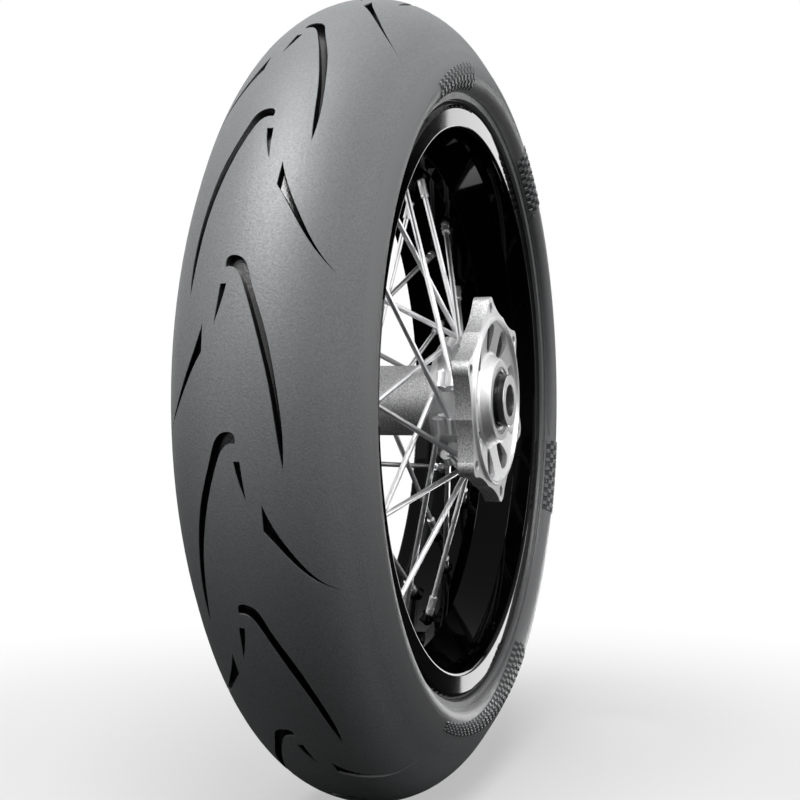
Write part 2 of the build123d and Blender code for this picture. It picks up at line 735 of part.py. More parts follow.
def build_balls():
    ball = Pos(ball_circle_radius, bearing_middle(), 0) * Sphere(ball_radius)
    return pattern(ball, ball_count)


def build_cage():
    half_width = ball_radius + 1.3
    cage = ring(bearing_middle() - half_width, bearing_middle() + half_width,
                ball_circle_radius - cage_thickness / 2, ball_circle_radius + cage_thickness / 2)
    pocket = rod((ball_circle_radius - 5.0, bearing_middle(), 0),
                 (ball_circle_radius + 5.0, bearing_middle(), 0), ball_radius + groove_clearance)
    return cage - pattern(pocket, ball_count)


def build_shields():
    inner = inner_race_radius + 0.4
    outer = outer_race_radius + 0.7
    low, high = -bearing_front, -bearing_front + bearing_width
    return [ring(low + 0.1, low + 0.1 + shield_thickness, inner, outer),
            ring(high - 0.1 - shield_thickness, high - 0.1, inner, outer)]


def build_dust_seal():
    """Lipped seal between the hub's nose and the axle spacer."""
    low = -seal_front
    lip = spacer_radius + 2 * running_clearance
    return spin(outline([
        (low, lip + 2.2), (low + 0.9, lip), (low + 2.2, lip + 1.2), (low + 3.6, lip),
        (low + seal_thickness, lip + 0.8),
        (low + seal_thickness, bearing_outer_radius), (low + 0.4, bearing_outer_radius),
        (low, bearing_outer_radius - 0.4), (low, bearing_outer_radius - 2.0),
        (low + 0.7, bearing_outer_radius - 2.4),
        (low + 0.7, lip + 2.9),
    ]))


def build_circlip():
    low = -bearing_front - circlip_thickness
    clip = ring(low, low + circlip_thickness, bearing_outer_radius - 2.4,
                bearing_outer_radius + circlip_depth - 0.2)
    gap = Pos(bearing_outer_radius, low, 0) * Box(14.0, 8.0, 9.0)
    return clip - turned(gap, 90.0)


def build_axle_spacer():
    """Turned collar with a shallow groove round it."""
    end, foot = -spacer_end, -bearing_front
    groove_low = -seal_front - spacer_groove_width - 0.6
    return spin(outline([
        (end, axle_radius), (end, spacer_radius - 0.6), (end + 0.6, spacer_radius),
        (groove_low, spacer_radius), (groove_low, spacer_radius - spacer_groove_depth),
        (groove_low + spacer_groove_width, spacer_radius - spacer_groove_depth),
        (groove_low + spacer_groove_width, spacer_radius), (foot - 2.5, spacer_radius),
        (foot, inner_race_radius - 0.4), (foot, axle_radius),
    ]))


def build_distance_tube():
    reach = bearing_front - bearing_width
    return ring(-reach, reach, axle_radius, distance_tube_radius)


# ---------------------------------------------------------------- write the nodes
save("tyre", build_tyre())
save("inner_tube", build_inner_tube())
save("rim_tape", build_rim_tape())
save("rim", build_rim())
save("valve_stem", build_valve_stem())
save("valve_nut", build_valve_nut())
save("valve_core", build_valve_core())
save("valve_pin", build_valve_pin())
save("valve_cap", build_valve_cap())
save("hub", build_hub())
for group, side, turn in (("sprocket_side_leading", -1, 1), ("sprocket_side_trailing", -1, -1),
                          ("brake_side_leading", 1, 1), ("brake_side_trailing", 1, -1)):
    places = [place for place in spoke_hole_places() if place[0] == side and place[3] == turn]
    save(f"spokes_{group}", *[build_spoke(place) for place in places])
    save(f"nipples_{group}", *[build_nipple(place) for place in places])
for name, shape in (("outer_race", build_outer_race()), ("inner_race", build_inner_race()),
                    ("cage", build_cage()), ("dust_seal", build_dust_seal()),
                    ("axle_spacer", build_axle_spacer())):
    save(f"sprocket_side_{name}", shape)
    save(f"brake_side_{name}", mirrored(shape))
for name, shapes in (("balls", build_balls()), ("shields", build_shields())):
    save(f"sprocket_side_{name}", *shapes)
    save(f"brake_side_{name}", *[mirrored(shape) for shape in shapes])
save("bearing_circlip", build_circlip())
save("distance_tube", build_distance_tube())
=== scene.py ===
# %% [markdown]
# # Rear wheel of a supermoto motorcycle
# The wheel is a grooved road tyre on a black wire-spoked rim, with a machined hub, its
# bearings and its axle collars. The exact solids come from CAD and stay where they are.
# This lesson gives them their finishes and adds what rubber moulding leaves on a tyre.

# %% Load the wheel
import math

import bpy
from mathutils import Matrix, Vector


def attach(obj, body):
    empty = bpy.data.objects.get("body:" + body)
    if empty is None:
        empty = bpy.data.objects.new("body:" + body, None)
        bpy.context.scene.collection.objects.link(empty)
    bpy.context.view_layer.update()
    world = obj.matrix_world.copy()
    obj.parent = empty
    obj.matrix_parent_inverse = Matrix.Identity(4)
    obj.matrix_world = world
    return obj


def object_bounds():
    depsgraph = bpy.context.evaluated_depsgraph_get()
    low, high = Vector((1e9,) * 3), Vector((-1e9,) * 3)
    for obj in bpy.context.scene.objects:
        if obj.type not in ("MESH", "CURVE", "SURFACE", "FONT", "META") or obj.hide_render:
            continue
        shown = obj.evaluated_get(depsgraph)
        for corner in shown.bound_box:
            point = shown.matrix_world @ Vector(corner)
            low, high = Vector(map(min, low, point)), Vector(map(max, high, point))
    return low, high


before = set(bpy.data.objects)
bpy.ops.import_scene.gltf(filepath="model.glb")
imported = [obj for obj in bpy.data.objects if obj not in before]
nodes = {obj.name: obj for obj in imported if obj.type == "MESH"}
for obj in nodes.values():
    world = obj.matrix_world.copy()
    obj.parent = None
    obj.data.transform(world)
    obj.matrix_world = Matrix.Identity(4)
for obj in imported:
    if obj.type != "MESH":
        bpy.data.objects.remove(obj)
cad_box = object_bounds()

scene = bpy.context.scene
bpy.ops.object.select_all(action="DESELECT")

# %% [markdown]
# ## Camera
# The wheel is looked at from beside the tread, level with the axle, so the tread faces us
# and the hub shows through the spokes. The camera stands close, so the near side of the
# ring looks clearly larger than its far side.

# %% Camera
view_angle = math.radians(-70.92)
view_distance = 1.1046
lens = 63.01
frame_shift = (-0.00245, 0.0007)
nearest_seen = 0.01

bpy.ops.object.camera_add(
    location=(view_distance * math.sin(view_angle), -view_distance * math.cos(view_angle), 0),
    rotation=(math.pi / 2, 0, view_angle),
)
camera = bpy.context.object
camera.name = "camera"
camera.data.lens = lens
camera.data.shift_x, camera.data.shift_y = frame_shift
camera.data.clip_start = nearest_seen
scene.camera = camera
scene.view_settings.view_transform = "Standard"
print("camera at", [round(value, 3) for value in camera.location])

# %% [markdown]
# ## Wiring helpers
# The world and every material are trees of nodes. Wiring them by hand takes many lines, so
# a few helpers add a node, do a sum, mix two colours or map one range on to another.


# %% Node helpers
def put(tree, kind, settings=None, values=None, links=None):
    """Add a node, set it up, give its sockets values and link others into it."""
    node = tree.nodes.new(kind)
    for key, value in (settings or {}).items():
        setattr(node, key, value)
    for socket, value in (values or {}).items():
        node.inputs[socket].default_value = value
    for socket, source in (links or {}).items():
        tree.links.new(source, node.inputs[socket])
    return node


def maths(tree, operation, first, second=None, third=None):
    """One Math node; numbers are typed in and sockets are linked."""
    node = tree.nodes.new("ShaderNodeMath")
    node.operation = operation
    for index, value in enumerate((first, second, third)):
        if value is None:
            continue
        if isinstance(value, (int, float)):
            node.inputs[index].default_value = value
        else:
            tree.links.new(value, node.inputs[index])
    return node.outputs["Value"]


def blended(tree, factor, low, high):
    """Mix two colours by a factor."""
    node = tree.nodes.new("ShaderNodeMix")
    node.data_type = "RGBA"
    tree.links.new(factor, node.inputs["Factor"])
    for index, value in ((6, low), (7, high)):
        if isinstance(value, tuple):
            node.inputs[index].default_value = (*value, 1)
        else:
            tree.links.new(value, node.inputs[index])
    return node.outputs[2]


def between(tree, value, low, high, start=0.0, end=1.0, smooth=False):
    """Map a value from low..high to start..end."""
    node = put(tree, "ShaderNodeMapRange",
               {"interpolation_type": "SMOOTHSTEP" if smooth else "LINEAR"},
               {"From Min": low, "From Max": high, "To Min": start, "To Max": end}, {"Value": value})
    return node.outputs["Result"]


def tell(name, tree):
    """Print how large a finished node tree is."""
    print(name, "has", len(tree.nodes), "nodes")


# %% [markdown]
# ## Studio
# The background is white to the camera and to shiny surfaces, and adds little light
# itself. One large box above lights the tread from the top downwards, one beside the hub
# lights the sidewall, and a weak one in front lifts the far shoulder. The first two are
# hidden from shiny surfaces, which get boxes of their own.

# %% World
fill_strength = 0.06
backdrop_strength = 1.0

world = bpy.data.worlds.new("studio")
scene.world = world
world.use_nodes = True
tree = world.node_tree
tree.nodes.clear()
ray = put(tree, "ShaderNodeLightPath").outputs
seen = maths(tree, "MAXIMUM", ray["Is Camera Ray"], ray["Is Transmission Ray"])
mirrored = maths(tree, "MAXIMUM", seen, ray["Is Glossy Ray"])
strength = between(tree, mirrored, 0.0, 1.0, fill_strength, backdrop_strength)
background = put(tree, "ShaderNodeBackground", values={"Color": (1, 1, 1, 1)}, links={"Strength": strength})
put(tree, "ShaderNodeOutputWorld", links={"Surface": background.outputs["Background"]})
tell("world", tree)

# %% Soft boxes
wheel_centre = (0, 0, 0)


def soft_box(name, place, target, width, height, power):
    """A rectangular soft box that faces a point."""
    bpy.ops.object.light_add(type="AREA", location=place)
    lamp = bpy.context.object
    lamp.name = name
    lamp.data.shape = "RECTANGLE"
    lamp.data.size = width
    lamp.data.size_y = height
    lamp.data.energy = power
    lamp.visible_camera = False
    direction = (place[0] - target[0], place[1] - target[1], place[2] - target[2])
    level = math.hypot(direction[0], direction[1])
    lamp.rotation_euler = (math.atan2(level, direction[2]), 0, math.atan2(direction[0], -direction[1]))
    print("soft box", name, "power", round(power, 3))
    return lamp


top_box = soft_box("top_box", (-0.95, -0.15, 1.5), wheel_centre, 1.2, 1.2, 52)
side_box = soft_box("side_box", (1.15, -1.9, 0.0), wheel_centre, 1.0, 0.8, 27)
for lamp in (top_box, side_box):
    lamp.visible_glossy = False
soft_box("front_box", (-1.8, 1.3, 0.5), wheel_centre, 1.2, 1.2, 7.5)

# %% [markdown]
# ### Boxes and cards that only reflections see
# A gloss-black rim shows little but what it reflects, so what stands behind the wheel is
# arranged for it. Two small boxes draw the flange's bright crescents, and two dark cards
# keep the rest of it black. A larger box above gives rubber and metal their sheen, and a
# faint one beside the hub fills its turned face.


# %% Mirror boxes
def mirror_box(name, place, target, width, height, radiance):
    """A soft box that lights nothing and only shows in shiny surfaces."""
    lamp = soft_box(name, place, target, width, height, radiance * math.pi * width * height)
    lamp.visible_diffuse = False


mirror_box("sheen_box", (-1.0, -0.06, 1.3), wheel_centre, 1.0, 0.9, 16.0)
mirror_box("hub_glow_box", (0.2, -2.0, 0.3), wheel_centre, 1.6, 1.6, 1.0)
mirror_box("crescent_box_high", (1.25, -0.38, 0.365), (0.0, -0.06, 0.16), 0.164, 0.31, 5.8)
mirror_box("crescent_box_low", (0.32, -0.124, -0.208), (-0.3, -0.06, -0.16), 0.072, 0.177, 5.8)

# %% Dark cards
card_black = (0.002, 0.002, 0.002, 1)

card_cloth = bpy.data.materials.new("card_cloth")
card_cloth.use_nodes = True
card_shader = card_cloth.node_tree.nodes["Principled BSDF"]
card_shader.inputs["Base Color"].default_value = card_black
card_shader.inputs["Specular IOR Level"].default_value = 0.0


def dark_card(name, place, width, height):
    """An upright black card behind the wheel that only reflections see."""
    bpy.ops.object.select_all(action="DESELECT")
    bpy.ops.mesh.primitive_plane_add(size=1, location=place, rotation=(0, math.pi / 2, 0))
    card = bpy.context.object
    card.name = name
    card.scale = (height, width, 1)
    bpy.ops.object.transform_apply(location=True, rotation=True, scale=True)
    card.data.materials.append(card_cloth)
    card.visible_camera = False
    card.visible_diffuse = False
    card.visible_shadow = False
    card.visible_transmission = False
    print("dark card", name, width, "by", height)


dark_card("dark_card_low", (1.3, 0.33, -0.045), 1.36, 0.51)
dark_card("dark_card_high", (1.31, 0.15, 0.50), 1.70, 0.64)

# %% [markdown]
# ## Materials
# Real rubber, paint and metal differ from spot to spot. Small effects that several
# finishes share are node groups: a fine grain, lathe marks, and the depth of a groove
# below the tread. They read object coordinates, so a pattern stays put as the wheel turns.


# %% Group helpers
def new_group(name, inputs, outputs):
    """An empty shader group with float inputs (name, default) and float outputs."""
    tree = bpy.data.node_groups.new(name, "ShaderNodeTree")
    for label, default in inputs:
        socket = tree.interface.new_socket(label, in_out="INPUT", socket_type="NodeSocketFloat")
        socket.default_value = default
    for label in outputs:
        tree.interface.new_socket(label, in_out="OUTPUT", socket_type="NodeSocketFloat")
    return tree, tree.nodes.new("NodeGroupInput"), tree.nodes.new("NodeGroupOutput")


def own_place(tree):
    """Object coordinates, which stay with the piece."""
    return put(tree, "ShaderNodeTexCoord").outputs["Object"]


def own_axes(tree):
    """Object coordinates one by one; Y runs along the axle."""
    return put(tree, "ShaderNodeSeparateXYZ", links={"Vector": own_place(tree)}).outputs


def hypotenuse(tree, first, second):
    """The square root of the sum of two squares."""
    squares = [maths(tree, "MULTIPLY", side, side) for side in (first, second)]
    return maths(tree, "SQRT", maths(tree, "ADD", *squares))


# %% Grain group
grain_group, grain_in, grain_out = new_group(
    "fine_grain", [("Scale", 900.0), ("Cloud Scale", 12.0)], ["Grain", "Clouds"])
grain_place = own_place(grain_group)
grain_noise = put(grain_group, "ShaderNodeTexNoise", values={"Detail": 3.0, "Roughness": 0.65},
                  links={"Vector": grain_place, "Scale": grain_in.outputs["Scale"]})
cloud_noise = put(grain_group, "ShaderNodeTexNoise", values={"Detail": 4.0, "Roughness": 0.6},
                  links={"Vector": grain_place, "Scale": grain_in.outputs["Cloud Scale"]})
grain_group.links.new(grain_noise.outputs["Fac"], grain_out.inputs["Grain"])
grain_group.links.new(cloud_noise.outputs["Fac"], grain_out.inputs["Clouds"])
tell("fine grain", grain_group)

# %% Lathe mark group
lathe_slant = 0.83

lathe_group, lathe_in, lathe_out = new_group(
    "lathe_marks", [("Pitch", 0.0006), ("Wander", 0.35)], ["Lines", "Radius"])
tree = lathe_group
lathe_axes = own_axes(tree)
lathe_radius = hypotenuse(tree, lathe_axes["X"], lathe_axes["Z"])
lathe_run = maths(tree, "MULTIPLY_ADD", lathe_axes["Y"], lathe_slant, lathe_radius)
lathe_noise = put(tree, "ShaderNodeTexNoise", {"noise_dimensions": "1D"}, {"Scale": 1.0, "Detail": 3.0},
                  {"W": maths(tree, "DIVIDE", lathe_run, lathe_in.outputs["Pitch"])})
lathe_patch = put(tree, "ShaderNodeTexNoise", values={"Scale": 60.0, "Detail": 2.0},
                  links={"Vector": own_place(tree)})
lathe_soft = maths(tree, "MULTIPLY", lathe_patch.outputs["Fac"], lathe_in.outputs["Wander"])
lathe_lines = maths(tree, "ADD", lathe_noise.outputs["Fac"], lathe_soft)
tree.links.new(lathe_lines, lathe_out.inputs["Lines"])
tree.links.new(lathe_radius, lathe_out.inputs["Radius"])
tell("lathe marks", tree)

# %% Groove depth group
tread_arc_radius = 0.063
tread_arc_centre = 0.243
tread_arc_end = math.radians(57)

groove_group, _, groove_out = new_group("groove_depth", [], ["Depth", "Radius", "Side"])
tree = groove_group
groove_axes = own_axes(tree)
side_place = maths(tree, "ABSOLUTE", groove_axes["Y"])
wheel_radius = hypotenuse(tree, groove_axes["X"], groove_axes["Z"])
above_centre = maths(tree, "SUBTRACT", wheel_radius, tread_arc_centre)
arc_distance = hypotenuse(tree, side_place, above_centre)
flank_distance = maths(tree, "ADD", maths(tree, "MULTIPLY", side_place, math.sin(tread_arc_end)),
                       maths(tree, "MULTIPLY", above_centre, math.cos(tread_arc_end)))
on_flank = maths(tree, "GREATER_THAN", maths(tree, "MULTIPLY", side_place, math.cos(tread_arc_end)),
                 maths(tree, "MULTIPLY", above_centre, math.sin(tread_arc_end)))
reach = maths(tree, "MULTIPLY_ADD", on_flank, maths(tree, "SUBTRACT", flank_distance, arc_distance),
              arc_distance)
tree.links.new(maths(tree, "SUBTRACT", tread_arc_radius, reach), groove_out.inputs["Depth"])
tree.links.new(wheel_radius, groove_out.inputs["Radius"])
tree.links.new(side_place, groove_out.inputs["Side"])
tell("groove depth", tree)


# %% Material starter
def new_material(name):
    """A material with a Principled shader to wire into."""
    material = bpy.data.materials.new(name)
    material.use_nodes = True
    tree = material.node_tree
    shader = tree.nodes["Principled BSDF"]
    return material, tree, shader


def placed(tree, group, **values):
    """Place a node group and set its inputs."""
    node = tree.nodes.new("ShaderNodeGroup")
    node.node_tree = group
    for label, value in values.items():
        node.inputs[label.replace("_", " ")].default_value = value
    return node


def bumped(tree, shader, height, strength, distance):
    """Feed a height into the shader's normal."""
    bump = put(tree, "ShaderNodeBump", values={"Strength": strength, "Distance": distance},
               links={"Height": height})
    tree.links.new(bump.outputs["Normal"], shader.inputs["Normal"])


# %% [markdown]
# ## Rubber
# Tread rubber is matt with a fine grain and faint clouds where it was buffed. Inside the
# grooves it is shiny, and its colour is painted darker with depth below the tread, down to
# near black: partly the unbuffed rubber's own tone, partly painted shade. The sidewall is a
# little darker and sleeker.

# %% Tread rubber
wall_top, tread_foot, tread_start = 0.256, 0.262, 0.266
wall_side = 0.045
groove_start, groove_full = 0.0004, 0.0012
buffed_dark, buffed_light = (0.124, 0.130, 0.133), (0.144, 0.151, 0.154)
pore_grey = (0.090, 0.095, 0.098)
wall_grey = (0.115, 0.117, 0.120)
# groove colour: partly the unbuffed rubber, partly painted shade that deepens in the groove
groove_black_shade = (0.006, 0.006, 0.006)
groove_shine, wall_shine = 0.34, 0.10

tread_rubber, tree, shader = new_material("tread_rubber")
grain = placed(tree, grain_group, Scale=700.0, Cloud_Scale=9.0)
depth = placed(tree, groove_group)
clouds = between(tree, grain.outputs["Clouds"], 0.35, 0.65)
fine = between(tree, grain.outputs["Grain"], 0.3, 0.7)
matt = blended(tree, clouds, buffed_dark, buffed_light)
speckled = blended(tree, fine, pore_grey, matt)
low_enough = between(tree, depth.outputs["Radius"], tread_foot, wall_top, smooth=True)
sidewall = maths(tree, "MULTIPLY", low_enough,
                 maths(tree, "GREATER_THAN", depth.outputs["Side"], wall_side))
walled = blended(tree, sidewall, speckled, wall_grey)
# how deep a place lies below the tread sets how much painted groove shade it gets
deep_enough = between(tree, depth.outputs["Depth"], groove_start, groove_full, smooth=True)
on_tread = between(tree, depth.outputs["Radius"], tread_foot, tread_start, smooth=True)
in_groove = maths(tree, "MULTIPLY", deep_enough, on_tread)
tree.links.new(blended(tree, in_groove, walled, groove_black_shade), shader.inputs["Base Color"])
tread_rough = between(tree, fine, 0, 1, 0.60, 0.48)
groove_rough = maths(tree, "MULTIPLY_ADD", in_groove, -groove_shine, tread_rough)
tree.links.new(maths(tree, "MULTIPLY_ADD", sidewall, -wall_shine, groove_rough), shader.inputs["Roughness"])
shader.inputs["Specular IOR Level"].default_value = 0.6
bumped(tree, shader, grain.outputs["Grain"], 0.35, 0.0006)
tell("tread rubber", tree)

# %% [markdown]
# ## Rim finish
# The rim is rolled aluminium with a deep gloss-black coat. The coat is nearly a mirror,
# with the least wave in it, and a touch of dust keeps it from looking like glass. Its index
# is set below that of real paint, so that dim surroundings don't turn it grey.

# %% Gloss black
coat_black, coat_dusty = (0.0010, 0.0010, 0.0011), (0.0025, 0.0025, 0.0027)

gloss_black, tree, shader = new_material("gloss_black")
grain = placed(tree, grain_group, Scale=160.0, Cloud_Scale=7.0)
dust = between(tree, grain.outputs["Clouds"], 0.45, 0.75)
tree.links.new(blended(tree, dust, coat_black, coat_dusty), shader.inputs["Base Color"])
tree.links.new(between(tree, dust, 0, 1, 0.035, 0.075), shader.inputs["Roughness"])
shader.inputs["IOR"].default_value = 1.15
bumped(tree, shader, grain.outputs["Clouds"], 0.05, 0.001)
tell("gloss black", tree)


# %% [markdown]
# ## Metal finishes
# The hub's sprocket face is turned bright. Its barrel and the edge of its carrier keep a
# blasted, grainy skin. The floors of its pockets are left raw, and their colour is painted
# darker still as shade in the pockets. One material tells these apart by how far out and how
# far along the axle a place is. The spokes are drawn stainless wire, and the nipples are plated.


# %% Edges of a finish
def beyond(tree, value, edge, blur=0.0001):
    """1 where a value is past an edge, 0 where it is short of it."""
    return between(tree, value, edge - blur, edge + blur)


def short_of(tree, value, edge, blur=0.0001):
    """1 where a value is short of an edge, 0 where it is past it."""
    return between(tree, value, edge + blur, edge - blur)


# %% Hub metal
barrel_end = 0.0365
carrier_back, carrier_front = 0.0641, 0.0765
carrier_inside = 0.0644
pocket_floor, pocket_mouth = 0.0635, 0.0720
pocket_inside, pocket_outside = 0.0394, 0.0610
pocket_blur = 0.0002
skin_dark, skin_light = (0.40, 0.40, 0.405), (0.84, 0.84, 0.845)
bright_dark, bright_light = (0.74, 0.74, 0.745), (0.86, 0.86, 0.865)
# pocket floor colour: a raw cast tone, darkened with painted shade for the recess
raw_shaded_dark, raw_shaded_light = (0.16, 0.16, 0.165), (0.36, 0.36, 0.365)

hub_metal, tree, shader = new_material("hub_metal")
lathe = placed(tree, lathe_group, Pitch=0.0005, Wander=0.3)
grain = placed(tree, grain_group, Scale=850.0, Cloud_Scale=35.0)
far_out = maths(tree, "ABSOLUTE", own_axes(tree)["Y"])
hub_radius = lathe.outputs["Radius"]
on_barrel = short_of(tree, far_out, barrel_end)
carrier_edge = maths(tree, "MULTIPLY", beyond(tree, far_out, carrier_back),
                     beyond(tree, hub_radius, carrier_inside))
cast_skin = maths(tree, "MULTIPLY", short_of(tree, far_out, carrier_front),
                  maths(tree, "MAXIMUM", carrier_edge, on_barrel))
sunk = maths(tree, "MULTIPLY", beyond(tree, far_out, pocket_floor),
             short_of(tree, far_out, pocket_mouth, pocket_blur))
between_rings = maths(tree, "MULTIPLY", beyond(tree, hub_radius, pocket_inside, pocket_blur),
                      short_of(tree, hub_radius, pocket_outside, pocket_blur))
pocket = maths(tree, "MULTIPLY", sunk, between_rings)
turned = maths(tree, "SUBTRACT", 1.0, maths(tree, "MAXIMUM", cast_skin, pocket))
blasted = blended(tree, between(tree, grain.outputs["Grain"], 0.35, 0.65), skin_dark, skin_light)
bright = blended(tree, between(tree, lathe.outputs["Lines"], 0.4, 0.9), bright_dark, bright_light)
# the pocket floors take the raw tone with painted shade
raw_and_shade = blended(tree, between(tree, grain.outputs["Clouds"], 0.3, 0.7), raw_shaded_dark, raw_shaded_light)
unturned = blended(tree, pocket, blasted, raw_and_shade)
tree.links.new(blended(tree, turned, unturned, bright), shader.inputs["Base Color"])
shader.inputs["Metallic"].default_value = 1.0
tree.links.new(between(tree, turned, 0, 1, 0.55, 0.46), shader.inputs["Roughness"])
line_height = maths(tree, "MULTIPLY", lathe.outputs["Lines"], 0.5)
line_over_grain = maths(tree, "SUBTRACT", line_height, grain.outputs["Grain"])
hub_height = maths(tree, "MULTIPLY_ADD", turned, line_over_grain, grain.outputs["Grain"])
bumped(tree, shader, hub_height, 0.5, 0.0004)
tell("hub metal", tree)


# %% Plain metals
def turned_metal(name, dark, light, roughness, pitch, wander=0.3, strength=0.15):
    """Metal with lathe lines round the axle."""
    material, tree, shader = new_material(name)
    lathe = placed(tree, lathe_group, Pitch=pitch, Wander=wander)
    lines = between(tree, lathe.outputs["Lines"], 0.4, 0.9)
    tree.links.new(blended(tree, lines, dark, light), shader.inputs["Base Color"])
    tree.links.new(between(tree, lines, 0, 1, roughness * 1.15, roughness * 0.85), shader.inputs["Roughness"])
    shader.inputs["Metallic"].default_value = 1.0
    bumped(tree, shader, lathe.outputs["Lines"], strength, 0.0002)
    return material


def drawn_metal(name, dark, light, roughness, scale):
    """Metal with a fine uneven polish."""
    material, tree, shader = new_material(name)
    grain = placed(tree, grain_group, Scale=scale, Cloud_Scale=70.0)
    tone = between(tree, grain.outputs["Clouds"], 0.3, 0.7)
    tree.links.new(blended(tree, tone, dark, light), shader.inputs["Base Color"])
    tree.links.new(between(tree, grain.outputs["Grain"], 0.3, 0.7, roughness * 1.2, roughness * 0.8),
                   shader.inputs["Roughness"])
    shader.inputs["Metallic"].default_value = 1.0
    bumped(tree, shader, grain.outputs["Grain"], 0.12, 0.0002)
    return material


spoke_steel = drawn_metal("spoke_steel", (0.86, 0.86, 0.87), (0.94, 0.94, 0.95), 0.36, 500.0)
nipple_plate = drawn_metal("nipple_plate", (0.84, 0.84, 0.85), (0.94, 0.94, 0.95), 0.42, 700.0)
ground_steel = turned_metal("ground_steel", (0.55, 0.55, 0.56), (0.75, 0.75, 0.76), 0.22, 0.0004)
ball_steel = drawn_metal("ball_steel", (0.72, 0.72, 0.73), (0.80, 0.80, 0.81), 0.08, 300.0)
brass = drawn_metal("brass", (0.62, 0.50, 0.26), (0.72, 0.60, 0.34), 0.28, 600.0)
tube_metal = turned_metal("tube_metal", (0.45, 0.45, 0.46), (0.62, 0.62, 0.63), 0.34, 0.0007)
shield_steel = turned_metal("shield_steel", (0.42, 0.42, 0.43), (0.6, 0.6, 0.61), 0.3, 0.0006)
seal_face = turned_metal("seal_face", (0.34, 0.34, 0.35), (0.55, 0.55, 0.56), 0.36, 0.0009, 0.2, 0.35)
print("plain metals made")

# %% Collar finish
collar_end_start, collar_end_full = 0.08735, 0.0876
collar_bore_start, collar_bore_full = 0.0132, 0.0127
collar_black = (0.010, 0.010, 0.011)
silver_dark, silver_light = (0.62, 0.62, 0.63), (0.82, 0.82, 0.83)

collar_finish, tree, shader = new_material("collar_finish")
lathe = placed(tree, lathe_group, Pitch=0.0004, Wander=0.25)
collar_out = maths(tree, "ABSOLUTE", own_axes(tree)["Y"])
end_face = between(tree, collar_out, collar_end_start, collar_end_full)
bored = between(tree, lathe.outputs["Radius"], collar_bore_start, collar_bore_full)
bare = maths(tree, "MAXIMUM", end_face, bored)
lines = between(tree, lathe.outputs["Lines"], 0.4, 0.9)
silver = blended(tree, lines, silver_dark, silver_light)
tree.links.new(blended(tree, bare, collar_black, silver), shader.inputs["Base Color"])
tree.links.new(bare, shader.inputs["Metallic"])
tree.links.new(between(tree, lines, 0, 1, 0.26, 0.18), shader.inputs["Roughness"])
bumped(tree, shader, lathe.outputs["Lines"], 0.12, 0.0002)
tell("collar finish", tree)


# %% Black rubber and plastic
def soft_black(name, dark, light, roughness, scale):
    """Moulded rubber or plastic with a fine grain."""
    material, tree, shader = new_material(name)
    grain = placed(tree, grain_group, Scale=scale, Cloud_Scale=40.0)
    tree.links.new(blended(tree, between(tree, grain.outputs["Clouds"], 0.3, 0.7), dark, light),
                   shader.inputs["Base Color"])
    tree.links.new(between(tree, grain.outputs["Grain"], 0.3, 0.7, roughness * 1.1, roughness * 0.9),
                   shader.inputs["Roughness"])
    bumped(tree, shader, grain.outputs["Grain"], 0.2, 0.0003)
    return material


tube_rubber = soft_black("tube_rubber", (0.018, 0.018, 0.018), (0.030, 0.030, 0.030), 0.62, 600.0)
cap_plastic = soft_black("cap_plastic", (0.014, 0.014, 0.014), (0.022, 0.022, 0.022), 0.42, 800.0)
print("black rubber and plastic made")

# %% Give the CAD nodes their finishes
finishes = {
    "tyre": tread_rubber, "inner_tube": tube_rubber, "rim_tape": tube_rubber, "rim": gloss_black,
    "hub": hub_metal, "valve_stem": brass, "valve_nut": brass, "valve_core": brass, "valve_pin": brass,
    "valve_cap": cap_plastic, "bearing_circlip": ground_steel, "distance_tube": tube_metal,
}
starts = (("spokes", spoke_steel), ("nipples", nipple_plate))
endings = (("race", ground_steel), ("balls", ball_steel), ("cage", shield_steel), ("shields", shield_steel),
           ("dust_seal", seal_face), ("axle_spacer", collar_finish))
for name, node in nodes.items():
    finish = finishes.get(name)
    for start, metal in starts:
        if name.startswith(start):
            finish = metal
    for ending, metal in endings:
        if name.endswith(ending):
            finish = metal
    node.data.materials.clear()
    node.data.materials.append(finish)
    print(name, "has", finish.name)

# %% [markdown]
# ## Sidewall moulding
# A tyre mould leaves ribs, ticks and checkered patches on the sidewall. Each is modelled
# flat, where cells are easy to inset and raise, and then every point is laid on the curve
# of the sidewall. Both sides get them, because a mould has two matching halves.

# %% The sidewall's curve
sides = ((-1, "sprocket_side"), (1, "brake_side"))
shoulder_centre = (0.01087, 0.2334)
shoulder_radius = 0.05913
bulge_radius = 0.011
bulge_top = math.radians(14)
bulge_bottom = math.radians(-70)
ring_corner = (0.0593, 0.2340)
cushion_edge = (0.0587, 0.2294)


def on_circle(centre, radius, angle):
    """A place (y, radius) on a circle of the tyre's section."""
    return centre[0] + radius * math.cos(angle), centre[1] + radius * math.sin(angle)


def on_line(start, end, done, lift):
    """A place on a straight stretch, and its lift away from the wheel."""
    run = (end[0] - start[0], end[1] - start[1])
    size = math.hypot(*run)
    return (start[0] + run[0] * done / size + lift * run[1] / size,
            start[1] + run[1] * done / size - lift * run[0] / size)


bulge_centre = on_circle(shoulder_centre, shoulder_radius - bulge_radius, bulge_top)
bulge_foot = on_circle(bulge_centre, bulge_radius, bulge_bottom)
cushion_length = math.dist(cushion_edge, ring_corner)
ledge_length = math.dist(ring_corner, bulge_foot)
bulge_length = bulge_radius * (bulge_top - bulge_bottom)


